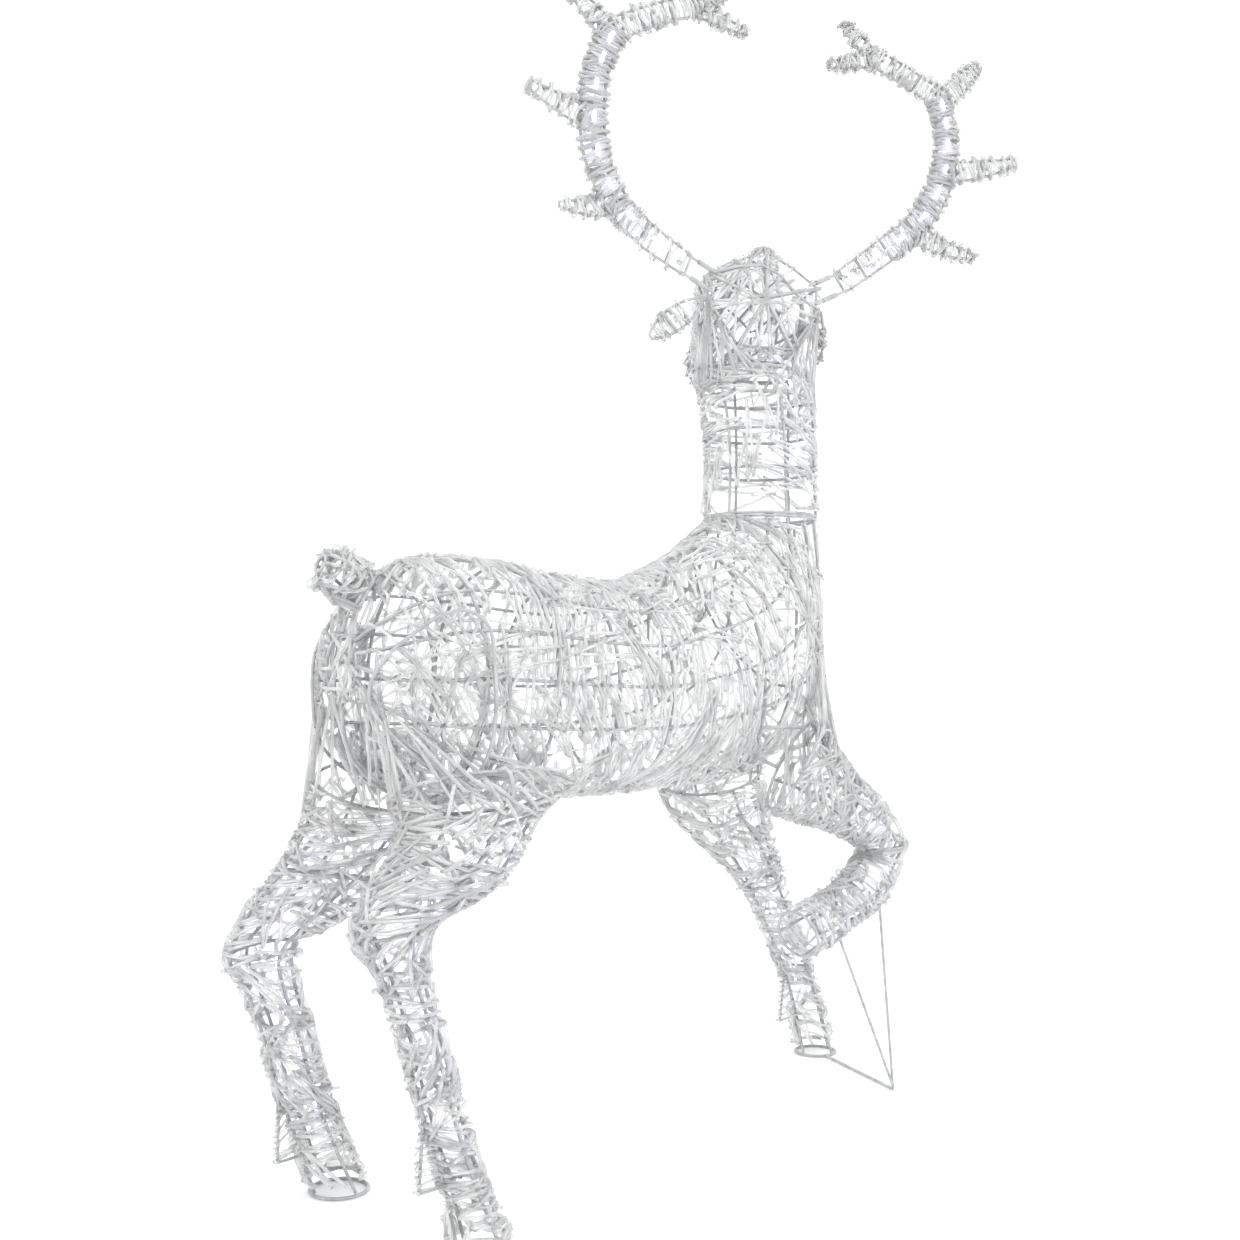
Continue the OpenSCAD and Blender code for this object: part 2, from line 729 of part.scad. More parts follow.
module antler_left_frame() { color(steel) left_antler() antler_frame(antler_bow); }
module antler_left_winding() { color(thread) left_antler() antler_winding(antler_bow); }
module antler_left_prongs() { color(steel) left_antler() antler_prongs(); }
module antler_left_lights() { color(lamp) left_antler() antler_lights(antler_bow); }
module antler_left_lead() { color(thread) left_antler() antler_lead(antler_bow); }
module antler_right_frame() { color(steel) right_antler() antler_frame(-antler_bow); }
module antler_right_winding() { color(thread) right_antler() antler_winding(-antler_bow); }
module antler_right_prongs() { color(steel) right_antler() antler_prongs(); }
module antler_right_lights() { color(lamp) right_antler() antler_lights(-antler_bow); }
module antler_right_lead() { color(thread) right_antler() antler_lead(-antler_bow); }

// ---- lights and their leads ----

lead_d = 2;
lead_in = 12;                  // how far inside the rails the lead runs

// A light: its holder and its round lens, lying along dir with its middle at p
module led(p, dir) {
    aimed(p - holder_l / 2 * unit(dir), p + holder_l * unit(dir)) {
        cylinder(h = holder_l, d = holder_d, $fn = 24);
        translate([0, 0, holder_l]) sphere(d = holder_d - 0.6, $fn = 24);
    }
}

// The line inside a section at ring point k, from section number a to b
function lead_line(sections, n, k, a, b) = [for (i = [a : b]) ring(sections[i], n, -lead_in)[k]];

body_lead = lead_line(body_sections, body_n, 14, 3, 10);
leg_leads = [
    lead_line(left_hind, leg_n, 1, 1, 8),
    [for (p = lead_line(right_hind, leg_n, 1, 1, 8)) [p[0], -p[1], p[2]]],
    lead_line(front_sections, leg_n, 1, 1, 6),
    lead_line(raised_sections, leg_n, 1, 1, 8)];
head_lead = concat(lead_line(neck_sections, neck_n, 7, 1, 4),
    [[10, -20, 1046], [40, -20, 1070], [80, -14, 1072], [120, -10, 1062]]);

// One light in the middle of each stretch of a lead
module lights_on(line) {
    for (i = [0 : len(line) - 2])
        led((line[i] + line[i + 1]) / 2, line[i + 1] - line[i]);
}

module lead_along(line) {
    wire(line, [0.3, 0.95, 0.1], d = lead_d);
}

module lights_body() { color(lamp) lights_on(body_lead); }
module light_lead_body() { color(thread) lead_along(body_lead); }
module lights_legs() { color(lamp) for (line = leg_leads) lights_on(line); }
module light_lead_legs() { color(thread) for (line = leg_leads) lead_along(line); }
module lights_head() { color(lamp) head_placed() lights_on(head_lead); }
module light_lead_head() { color(thread) head_placed() lead_along(head_lead); }

// The socket that the supply lead plugs into, at the back end of the body's lead
inlet_l = 26;

module power_inlet() {
    color(lamp) aimed(body_lead[0] + [2, 0, 0], body_lead[0] - [inlet_l, 0, 0])
        difference() {
            cylinder(h = inlet_l, r = 5.5, $fn = 24);
            translate([0, 0, 8]) cylinder(h = inlet_l, r = 4, $fn = 24);
        }
}

// ---- all the pieces ----

module placed() {
    translate(origin_shift) children();
}

placed() body_rails();
placed() body_hoops();
placed() body_winding();
placed() collar_ring();
placed() collar_guides();
placed() tail_frame();
placed() tail_winding();
placed() haunch_loop_left();
placed() haunch_loop_right();
placed() hind_leg_left_frame();
placed() hind_leg_left_winding();
placed() hind_leg_right_frame();
placed() hind_leg_right_winding();
placed() front_leg_left_frame();
placed() front_leg_left_winding();
placed() front_leg_right_frame();
placed() front_leg_right_winding();
placed() hoof_ring_hind_left();
placed() hoof_ring_hind_right();
placed() hoof_ring_front_left();
placed() hoof_ring_front_right();
placed() leg_clips();
placed() support_stay();
placed() stay_foot();
placed() lights_body();
placed() light_lead_body();
placed() lights_legs();
placed() light_lead_legs();
placed() power_inlet();
placed() neck_ring();
placed() neck_rails();
placed() neck_hoops();
placed() neck_winding();
placed() head_rails();
placed() head_hoops();
placed() head_winding();
placed() ear_left_frame();
placed() ear_left_winding();
placed() ear_right_frame();
placed() ear_right_winding();
placed() antler_sockets();
placed() lights_head();
placed() light_lead_head();
placed() antler_left_frame();
placed() antler_left_winding();
placed() antler_left_prongs();
placed() antler_left_lights();
placed() antler_left_lead();
placed() antler_right_frame();
placed() antler_right_winding();
placed() antler_right_prongs();
placed() antler_right_lights();
placed() antler_right_lead();
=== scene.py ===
import json
import math
import random

import bpy
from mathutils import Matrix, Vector


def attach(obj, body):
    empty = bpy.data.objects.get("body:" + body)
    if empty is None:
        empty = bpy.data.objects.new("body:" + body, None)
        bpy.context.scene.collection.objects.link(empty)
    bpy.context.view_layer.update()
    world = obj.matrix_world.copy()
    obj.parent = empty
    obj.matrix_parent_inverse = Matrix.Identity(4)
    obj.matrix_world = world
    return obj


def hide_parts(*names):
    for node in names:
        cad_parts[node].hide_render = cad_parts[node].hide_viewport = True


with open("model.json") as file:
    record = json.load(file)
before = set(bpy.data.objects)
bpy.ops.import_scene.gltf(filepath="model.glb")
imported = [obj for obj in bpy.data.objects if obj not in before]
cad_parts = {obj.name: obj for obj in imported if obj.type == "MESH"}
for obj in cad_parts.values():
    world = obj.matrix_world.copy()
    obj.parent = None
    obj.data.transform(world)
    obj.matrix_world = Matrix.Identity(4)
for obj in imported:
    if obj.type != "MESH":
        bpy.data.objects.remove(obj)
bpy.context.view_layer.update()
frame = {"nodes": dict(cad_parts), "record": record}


millimetre = 0.001
originShift = Vector((46, 17, 0))     # from the drawing's origin to the frame's, in mm
neckAxis = Vector((175, 0, 0))        # the head is drawn about this upright line
headTurn = math.radians(66.7)         # and looks this far to the left at rest

# places and sections are in mm as drawn
def toFrame(point, onHead=False):
    p = Vector(point)
    if onHead:
        c, s = math.cos(headTurn), math.sin(headTurn)
        p = Vector((p.x * c - p.y * s, p.x * s + p.y * c, p.z)) + neckAxis
    return (p + originShift) * millimetre


def mirrored(sections):
    return [tuple(Vector((v[0], -v[1], v[2])) for v in s) for s in sections]


def vectors(sections):
    return [tuple(Vector(v) for v in s) for s in sections]


def smoothBetween(a, b, c, d, t):
    # a smooth curve from b at t = 0 to c at t = 1, with a and d as its neighbours
    return 0.5 * ((2 * b) + (c - a) * t + (2 * a - 5 * b + 4 * c - d) * t * t
                  + (3 * b - a - 3 * c + d) * t ** 3)


# a section's rings are (centre, half axis, half axis), and s counts rings along it
def sectionAt(surface, s):
    rings = surface["rings"]
    last = len(rings) - 1
    s = min(max(s, 0.0), last - 1e-6)
    i = int(s)
    t = s - i
    a, b, c, d = rings[max(i - 1, 0)], rings[i], rings[i + 1], rings[min(i + 2, last)]
    if surface.get("straight"):
        return tuple(b[k].lerp(c[k], t) for k in range(3))
    return tuple(smoothBetween(a[k], b[k], c[k], d[k], t) for k in range(3))


# a is the share of a turn round the section, and grow is mm outwards
def surfacePoint(surface, s, a, grow=0.0):
    centre, u, v = sectionAt(surface, s)
    outline = surface.get("outline")
    if outline:
        i = (a % 1.0) * len(outline)
        k = int(i) % len(outline)
        f = i - int(i)
        n = outline[(k + 1) % len(outline)]
        x = outline[k][0] + (n[0] - outline[k][0]) * f
        y = outline[k][1] + (n[1] - outline[k][1]) * f
    else:
        x, y = math.cos(2 * math.pi * a), math.sin(2 * math.pi * a)
    return centre + u * x * (1 + grow / u.length) + v * y * (1 + grow / v.length)


# back and belly are the (x, z) of the top and bottom of a body ring
def bodyRing(back, belly, halfWidth):
    return (((back[0] + belly[0]) / 2, 0, (back[1] + belly[1]) / 2), (0, halfWidth, 0),
            ((back[0] - belly[0]) / 2, 0, (back[1] - belly[1]) / 2))


bodyShape = {"rings": vectors([
    bodyRing((-504, 632), (-506, 562), 30), bodyRing((-492, 662), (-496, 508), 64),
    bodyRing((-452, 696), (-456, 468), 92), bodyRing((-395, 716), (-400, 452), 110),
    bodyRing((-300, 713), (-300, 448), 112), bodyRing((-200, 703), (-200, 448), 106),
    bodyRing((-110, 702), (-105, 448), 103), bodyRing((-35, 724), (-10, 450), 102),
    bodyRing((30, 756), (92, 455), 102), bodyRing((64, 779), (190, 492), 98),
    bodyRing((86, 793), (244, 570), 90), bodyRing((96, 800), (256, 680), 82),
    bodyRing((99, 797), (251, 797), 76)])}

tailShape = {"rings": vectors([
    ((-487, 0, 680), (0, 22, 0), (20, 0, 17)), ((-502, 0, 692), (0, 24, 0), (17, 0, 16)),
    ((-517, 0, 699), (0, 20, 0), (11, 0, 15)), ((-530, 0, 702), (0, 10, 0), (5, 0, 11))])}


# hock is the hock's height, and shank and thigh are half widths
def hindShape(hock, shank, thigh):
    hip = 463
    up = hip - hock
    return [((-488 + thigh, 72, hip), (thigh, 0, -4), (0, 50, 27)),
            ((-407, 91, hock + 0.75 * up), (84, 0, 0), (0, 44, 8)),
            ((-444, 103, hock + 0.43 * up), (67, 0, -12), (0, 40, 0)),
            ((-495, 113, hock + 0.19 * up), (51, 0, -10), (0, 36, 0)),
            ((-526, 118, hock), (40, 0, 6), (0, 34, 0)),
            ((-516, 121, 0.865 * hock), (shank + 2, 0, 0), (0, shank, 0)),
            ((-495, 124, 0.675 * hock), (shank, 0, 0), (0, shank - 1, 0)),
            ((-474, 127, 0.455 * hock), (shank, 0, 0), (0, shank - 1, 0)),
            ((-450, 129, 0.245 * hock), (shank, 0, 0), (0, shank, 0)),
            ((-421, 130, 5), (33, 0, 0), (0, 33, 0))]


hindLeftShape = {"rings": vectors(hindShape(290, 28, 96))}
hindRightShape = {"rings": mirrored(hindShape(342, 22, 116))}
frontLeftShape = {"rings": vectors([
    ((180, 94, 450), (104, 0, 14), (0, 42, 24)), ((205, 97, 396), (88, 0, 12), (0, 40, 8)),
    ((258, 100, 338), (52, 0, 10), (0, 35, 0)), ((306, 103, 280), (32, 0, 6), (0, 29, 0)),
    ((352, 105, 206), (28, 0, 0), (0, 27, 0)), ((390, 107, 140), (26, 0, 0), (0, 25, 0)),
    ((420, 109, 76), (27, 0, 0), (0, 26, 0)), ((445, 110, 5), (31, 0, 0), (0, 31, 0))])}
raisedShape = {"rings": vectors([
    ((100, -116, 474), (36, 0, 54), (0, -34, 20)), ((150, -114, 447), (26, 0, 46), (0, -34, 6)),
    ((204, -112, 420), (20, 0, 34), (0, -33, 0)), ((256, -112, 395), (18, 0, 29), (0, -32, 0)),
    ((306, -112, 354), (34, 0, 4), (0, -31, 0)), ((270, -112, 306), (16, 0, -30), (0, -29, 0)),
    ((228, -112, 286), (8, 0, -28), (0, -27, 0)), ((186, -112, 272), (7, 0, -27), (0, -27, 0)),
    ((150, -112, 263), (8, 0, -29), (0, -30, 0)), ((116, -112, 254), (9, 0, -30), (0, -31, 0))]),
    "straight": True}
neckShape = {"rings": vectors([
    ((0, 0, 805), (76, 0, 0), (0, 76, 0)), ((0, 0, 866), (73, 0, 0), (0, 73, 0)),
    ((2, 0, 918), (71, 0, 0), (0, 74, 0)), ((10, 0, 968), (66, 0, 0), (0, 78, 0)),
    ((25, 0, 1008), (55, 0, 0), (0, 84, 0))])}
headShape = {"rings": vectors([
    ((-14, 0, 1102), (0, 84, 0), (0, 0, 68)), ((24, 0, 1095), (0, 81, 0), (0, 0, 72)),
    ((66, 0, 1085), (0, 66, 0), (0, 0, 66)), ((112, 0, 1070), (0, 46, 0), (0, 0, 54)),
    ((156, 0, 1056), (0, 33, 0), (0, 0, 41)), ((190, 0, 1047), (0, 25, 0), (0, 0, 29))]),
    "outline": [(1, 0.35), (0.55, 0.7), (0, 1), (-0.55, 0.7), (-1, 0.35), (-0.94, -0.3),
                (-0.5, -1), (0.5, -1), (0.94, -0.3)]}


def earShape(root, tip, across):
    root, tip, across = Vector(root), Vector(tip), Vector(across).normalized()
    thin = 3 * (tip - root).cross(across).normalized()
    return [(root.lerp(tip, t), w * across, thin)
            for t, w in ((0, 4), (0.3, 13), (0.62, 15), (0.88, 9), (1, 3))]


earLeftShape = {"rings": vectors(earShape((-8, 93, 1094), (-12, 168, 1036), (0, 54, 60)))}
earRightShape = {"rings": mirrored(earShape((-2, 93, 1096), (30, 106, 1032), (68, 0, 34)))}

# an antler's branches are lists of (place, half width, share of the bow)
trunk = [((-16, 116, 1135), 15, 0), ((-24, 146, 1152), 16, 0.4), ((-34, 184, 1175), 17, 0.8),
         ((-48, 222, 1203), 17, 1), ((-58, 246, 1238), 17, 1), ((-68, 259, 1271), 17, 1),
         ((-76, 262, 1308), 16, 1), ((-80, 259, 1341), 15, 1), ((-84, 250, 1368), 15, 1),
         ((-86, 240, 1390), 17, 1)]
crown = [((-86, 240, 1390), 15, 1), ((-85, 205, 1408), 13, 1), ((-82, 166, 1426), 13, 1),
         ((-78, 128, 1440), 11, 1)]
forkUpper = [((-78, 134, 1440), 9, 1), ((-74, 110, 1458), 8, 0.7), ((-70, 88, 1474), 3, 0.3)]
forkLower = [((-78, 136, 1436), 9, 1), ((-74, 98, 1429), 8, 1), ((-70, 62, 1420), 3, 1)]
tineLower = [((-48, 224, 1200), 14, 1), ((-52, 270, 1186), 10, 0.5), ((-56, 312, 1181), 3, 0)]
tineMiddle = [((-74, 262, 1286), 14, 1), ((-80, 314, 1298), 11, 0.5), ((-84, 362, 1314), 5, 0)]
tineUpper = [((-86, 246, 1386), 13, 1), ((-82, 272, 1412), 12, 0.5), ((-78, 298, 1440), 7, 0)]
antlerBranches = {"trunk": trunk, "crown": crown, "forkUpper": forkUpper, "forkLower": forkLower,
                  "tineLower": tineLower, "tineMiddle": tineMiddle, "tineUpper": tineUpper}


antlerForm = {"bowMm": 12, "halfThickMm": 5, "curveCentre": (120, 1300)}     # centre is (y, z)


def antlerShape(branch, bow, side):
    points = []
    for p, width, share in branch:
        p = Vector(p)
        out = Vector((0, p.y - antlerForm["curveCentre"][0],
                      p.z - antlerForm["curveCentre"][1])).normalized()
        points.append((p + out * bow * share, width))
    rings = []
    for i, (p, width) in enumerate(points):
        along = (points[min(i + 1, len(points) - 1)][0] - points[max(i - 1, 0)][0]).normalized()
        across = Vector((1, 0, 0)).cross(along).normalized()
        rings.append((p, width * across, Vector((antlerForm["halfThickMm"], 0, 0))))
    return {"rings": rings if side > 0 else mirrored(rings)}


def fromHex(text):
    def linear(c):
        return c / 12.92 if c <= 0.04045 else ((c + 0.055) / 1.055) ** 2.4
    return tuple(linear(int(text[i:i + 2], 16) / 255) for i in (0, 2, 4)) + (1.0,)


def addNode(material, kind, settings=None, links=None):
    node = material.node_tree.nodes.new(kind)
    for name, value in (settings or {}).items():
        if name in node.inputs:
            node.inputs[name].default_value = value
        else:
            setattr(node, name, value)
    for name, source in (links or {}).items():
        material.node_tree.links.new(source, node.inputs[name])
    return node


def newMaterial(name):
    material = bpy.data.materials.new(name)
    material.use_nodes = True
    shader = material.node_tree.nodes["Principled BSDF"]
    return material, shader


def finishMaterial(name, look):
    # colour that drifts a little, roughness in patches and a fine bump
    material, shader = newMaterial(name)
    place = addNode(material, "ShaderNodeTexCoord")
    broad = addNode(material, "ShaderNodeTexNoise",
                    {"Scale": 1 / (look["patchMm"] * millimetre), "Detail": 3.0},
                    {"Vector": place.outputs["Object"]})
    fine = addNode(material, "ShaderNodeTexNoise",
                   {"Scale": 1 / (look["grainMm"] * millimetre), "Detail": 2.0},
                   {"Vector": place.outputs["Object"]})
    ramp = addNode(material, "ShaderNodeValToRGB", {}, {"Fac": broad.outputs["Fac"]})
    for stop, place, shade in zip(ramp.color_ramp.elements, (0.3, 0.7), ("dark", "light")):
        stop.position = place
        stop.color = fromHex(look[shade])
    rough = addNode(material, "ShaderNodeMapRange",
                    {"To Min": look["roughLow"], "To Max": look["roughHigh"]},
                    {"Value": fine.outputs["Fac"]})
    bump = addNode(material, "ShaderNodeBump",
                   {"Strength": look["bump"], "Distance": look["bumpMm"] * millimetre},
                   {"Height": fine.outputs["Fac"]})
    links = material.node_tree.links
    links.new(ramp.outputs["Color"], shader.inputs["Base Color"])
    links.new(rough.outputs["Result"], shader.inputs["Roughness"])
    links.new(bump.outputs["Normal"], shader.inputs["Normal"])
    shader.inputs["IOR"].default_value = look["ior"]
    shader.inputs["Transmission Weight"].default_value = look.get("clear", 0.0)
    shader.inputs["Coat Weight"].default_value = look.get("coat", 0.0)
    if "glow" in look:
        shader.inputs["Emission Color"].default_value = fromHex(look["glow"])
        shader.inputs["Emission Strength"].default_value = look["glowStrength"]
    return material


# grain is drawn coarser than real wherever the real one is too fine to see
finishes = {
    # drawn steel wire with a baked white coat, its white drawn as a grey base colour that is painted
    # shade: a thin grey-white line with short dull highlights
    "whiteSteelPaintedShade": {"dark": "97999B", "light": "BABCBD", "patchMm": 14, "grainMm": 1.2,
                         "roughLow": 0.28, "roughHigh": 0.5, "bump": 0.2, "bumpMm": 0.15,
                         "ior": 1.5, "coat": 0.2},
    # extruded acrylic, part clear: a pale round thread, light in front of white and grey at its edges
    "clearAcrylicThread": {"dark": "EDEEEF", "light": "FDFDFD", "patchMm": 22, "grainMm": 3,
                           "roughLow": 0.2, "roughHigh": 0.45, "bump": 0.2, "bumpMm": 0.3,
                           "ior": 1.49, "clear": 0.7},
    # moulded clear plastic over a cool white lamp: a small glossy point with a faint violet glow
    "lampPlastic": {"dark": "E6E2FF", "light": "F6F4FF", "patchMm": 4, "grainMm": 0.6,
                    "roughLow": 0.1, "roughHigh": 0.25, "bump": 0.1, "bumpMm": 0.05,
                    "ior": 1.49, "glow": "CFC6FF", "glowStrength": 3.0},
    # soft white sleeve of a light lead: an even satin white that hides among the threads
    "whiteLeadPlastic": {"dark": "D6D8DC", "light": "EDEEF0", "patchMm": 9, "grainMm": 0.9,
                         "roughLow": 0.3, "roughHigh": 0.5, "bump": 0.15, "bumpMm": 0.08,
                         "ior": 1.46}}
materials = {name: finishMaterial(name, look) for name, look in finishes.items()}
slotFinish = {"white_steel": "whiteSteelPaintedShade", "clear_thread": "clearAcrylicThread",
              "lamp": "lampPlastic", "lead": "whiteLeadPlastic"}
print("materials made")

for part in frame["record"]["subparts"]:
    node = frame["nodes"][part["node"]]
    node.data.materials.clear()
    node.data.materials.append(materials[slotFinish[part["material_slot"]]])


# wires and threads are round tubes, made from (points, closed) lines
def makeTubes(name, lines, radiusMm, slotName, body, nodes, sides=1, smooth=False, onHead=False):
    curve = bpy.data.curves.new(name, "CURVE")
    curve.dimensions = "3D"
    curve.bevel_depth = radiusMm * millimetre
    curve.bevel_resolution = sides
    curve.use_fill_caps = True
    curve.resolution_u = 2
    for points, closed in lines:
        spline = curve.splines.new("NURBS" if smooth else "POLY")
        spline.points.add(len(points) - 1)
        for target, p in zip(spline.points, points):
            target.co = (*toFrame(p, onHead), 1.0)
        spline.use_cyclic_u = closed
        if smooth:
            spline.order_u = 3
            spline.use_endpoint_u = not closed
    piece = bpy.data.objects.new(name, curve)
    bpy.context.scene.collection.objects.link(piece)
    bpy.ops.object.select_all(action="DESELECT")
    bpy.context.view_layer.objects.active = piece
    piece.select_set(True)
    bpy.ops.object.convert(target="MESH")
    bpy.ops.object.mode_set(mode="EDIT")
    bpy.ops.mesh.select_all(action="SELECT")
    bpy.ops.mesh.remove_doubles(threshold=0.00001)
    bpy.ops.mesh.normals_make_consistent(inside=False)
    bpy.ops.object.mode_set(mode="OBJECT")
    bpy.ops.object.shade_smooth_by_angle(angle=math.radians(50))
    piece.data.materials.clear()
    piece.data.materials.append(materials[slotFinish[slotName]])
    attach(piece, body)
    if nodes:
        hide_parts(*nodes)
    print("made", name, len(piece.data.polygons), "faces")
    return piece


wire = {"radiusMm": 2.0, "sides": 2, "hoopInMm": 2.4, "fineSteps": 4}


def makeFrame(name, lines, body, nodes, onHead=False):
    return makeTubes(name, lines, wire["radiusMm"], "white_steel", body, nodes,
                     sides=wire["sides"], onHead=onHead)


def rails(surface, places, first=0.0, last=None, steps=None):
    last = len(surface["rings"]) - 1 if last is None else last
    steps = steps or wire["fineSteps"]
    count = int((last - first) * steps)
    return [([surfacePoint(surface, first + (last - first) * i / count, a)
              for i in range(count + 1)], False) for a in places]


def hoops(surface, where, count=32):
    if surface.get("outline"):
        count = len(surface["outline"])
    return [([surfacePoint(surface, s, i / count, -wire["hoopInMm"]) for i in range(count)], True)
            for s in where]


bodyFrame = {"railsAt": (0, 1, 2, 4, 6, 7, 8, 9, 12, 15), "ofTurn": 16,
             "hoopsAt": (0, 2, 3, 4, 5, 6, 8, 10)}
makeFrame("bodyRails", rails(bodyShape, [k / bodyFrame["ofTurn"] for k in bodyFrame["railsAt"]]),
          "body", ["body_rails"])
makeFrame("bodyHoops", hoops(bodyShape, bodyFrame["hoopsAt"]), "body", ["body_hoops"])
quarters = (0, 0.25, 0.5, 0.75)
tailFeet = [([Vector((-475, y, 665)), surfacePoint(tailShape, 0, a, -wire["hoopInMm"])], False)
            for y, a in ((-16, 0.375), (16, 0.125))]
makeFrame("tailFrame", rails(tailShape, quarters) + hoops(tailShape, (0, 2, 3), 16) + tailFeet,
          "body", ["tail_frame"])

haunchLine = [(-400, 121, 600), (-403, 117, 636), (-420, 105, 654), (-446, 96, 650),
              (-470, 86, 634), (-492, 70, 612), (-505, 55, 585), (-506, 52, 558), (-494, 66, 532),
              (-474, 80, 508), (-448, 88, 488), (-424, 92, 478), (-406, 104, 488),
              (-400, 117, 520), (-399, 122, 560)]
haunchLoop = {"feetAt": (0, 2, 11, 13), "footMm": 8, "middleZ": 584}
for sideName, sign in (("left", 1), ("right", -1)):
    loop = [Vector((p[0], p[1] * sign, p[2])) for p in haunchLine]
    feet = []
    for i in haunchLoop["feetAt"]:
        outward = Vector((0, loop[i].y, loop[i].z - haunchLoop["middleZ"])).normalized()
        feet.append(([loop[i], loop[i] - haunchLoop["footMm"] * outward], False))
    fine = []
    for i in range(len(loop)):
        a, b, c, d = (loop[(i + k) % len(loop)] for k in (-1, 0, 1, 2))
        fine += [smoothBetween(a, b, c, d, t / 3) for t in range(3)]
    makeFrame("haunchLoop" + sideName.title(), [(fine, True)] + feet, "body",
              ["haunch_loop_" + sideName])

# the spike is the bare wire behind a fetlock
legFrames = {
    "hindLegLeft": {"node": "hind_leg_left_frame", "shape": hindLeftShape, "hoopsAt": (0, 2, 4),
                    "spike": ((-502, 127, 125), (-502, 128, 51), (-468, 129, 52))},
    "hindLegRight": {"node": "hind_leg_right_frame", "shape": hindRightShape, "hoopsAt": (0, 2, 4),
                     "spike": ((-496, -127, 156), (-502, -128, 82), (-462, -129, 83))},
    "frontLegLeft": {"node": "front_leg_left_frame", "shape": frontLeftShape, "hoopsAt": (0, 3, 5),
                     "spike": ((364, 107, 140), (354, 108, 64), (398, 108, 68))},
    "frontLegRight": {"node": "front_leg_right_frame", "shape": raisedShape,
                      "hoopsAt": (0, 2, 4, 6)}}
for legName, leg in legFrames.items():
    lines = rails(leg["shape"], quarters) + hoops(leg["shape"], leg["hoopsAt"])
    if "spike" in leg:
        lines.append(([Vector(p) for p in leg["spike"]], False))
    makeFrame(legName + "Frame", lines, "body", [leg["node"]])
stayLine = ((296, -112, 283), (354, -95, 12), (357, -94, 2.5), (353, -95, 10), (200, -112, 247))
makeFrame("supportStay", [([Vector(p) for p in stayLine], False)], "body", ["support_stay"])

neckFrame = {"rails": 6, "hoopsAt": (1, 2, 3, 4)}
neckRailPlaces = [k / neckFrame["rails"] for k in range(neckFrame["rails"])]
makeFrame("neckRails", rails(neckShape, neckRailPlaces), "head", ["neck_rails"], onHead=True)
makeFrame("neckHoops", hoops(neckShape, neckFrame["hoopsAt"]), "head", ["neck_hoops"],
          onHead=True)
headTies = [([Vector((-14, -42, 1034)), Vector((-22.6, -40, 1005))], False),
            ([Vector((-14, 42, 1034)), Vector((-22.6, 40, 1005))], False),
            ([Vector((66, 0, 1022)), Vector((76, 0, 1005))], False)]
headRailPlaces = [k / len(headShape["outline"]) for k in range(len(headShape["outline"]))]
makeFrame("headRails", rails(headShape, headRailPlaces) + headTies, "head", ["head_rails"],
          onHead=True)
backCentre = Vector((-14, 0, 1102))
backSpokes = [([surfacePoint(headShape, 0, headRailPlaces[k], -wire["hoopInMm"]), backCentre],
               False) for k in (0, 2, 4, 6, 7)]
browWire = [Vector((-18, y, z)) for y, z in ((80, 1129), (44, 1141), (6, 1147), (-22, 1136),
                                             (-48, 1112), (-64, 1102), (-84, 1095))]
makeFrame("headHoops", hoops(headShape, range(len(headShape["rings"]))) + backSpokes
          + [(browWire, False)], "head", ["head_hoops"], onHead=True)


def edgeWire(shape, steps):
    # up one edge of a flat shape and down the other
    last = len(shape["rings"]) - 1
    edge = [surfacePoint(shape, last * i / steps, 0) for i in range(steps + 1)]
    return edge + [surfacePoint(shape, last * (steps - i) / steps, 0.5) for i in range(steps + 1)]


def rung(shape, s):
    return ([surfacePoint(shape, s, 0), surfacePoint(shape, s, 0.5)], False)


for sideName, shape, sign in (("Left", earLeftShape, 1), ("Right", earRightShape, -1)):
    edge = edgeWire(shape, 12)
    rungs = [rung(shape, s) for s in (0, 2)]
    root = shape["rings"][0][0]
    foot = [([root, Vector((-13, sign * 79, root.z))], False)]
    makeFrame("ear" + sideName + "Frame", [(edge, False)] + rungs + foot, "head",
              ["ear_" + sideName.lower() + "_frame"], onHead=True)
antlers = {}
for sideName, sign in (("Left", 1), ("Right", -1)):
    bow = sign * antlerForm["bowMm"]      # the left antler bows out and the right one in
    shapes = {name: antlerShape(branch, bow, sign) for name, branch in antlerBranches.items()}
    antlers[sideName] = shapes
    lines = []
    for name, shape in shapes.items():
        last = len(shape["rings"]) - 1
        if name in ("trunk", "crown"):
            lines += rails(shape, (0, 0.5))
            lines += [rung(shape, s) for s in range(last + 1)]
        else:
            lines += [(edgeWire(shape, 6), False), rung(shape, 1)]
    makeFrame("antler" + sideName + "Frame", lines, "antler_" + sideName.lower(),
              ["antler_" + sideName.lower() + "_frame"], onHead=True)
print("frames made")

# clear thread wound round the frames: growLow and growHigh are how far it stands off them
threadSettings = {"radiusMm": 2.0, "growLowMm": 2.6, "growHighMm": 5.4, "seed": 41}
dice = random.Random(threadSettings["seed"])


def scaleAt(surface, s):
    last = len(surface["rings"]) - 1
    low, high = max(s - 0.5, 0), min(s + 0.5, last)
    along = (sectionAt(surface, high)[0] - sectionAt(surface, low)[0]).length / (high - low)
    u, v = sectionAt(surface, s)[1:]
    around = math.pi * (u.length + v.length)
    return max(along, 4.0), around


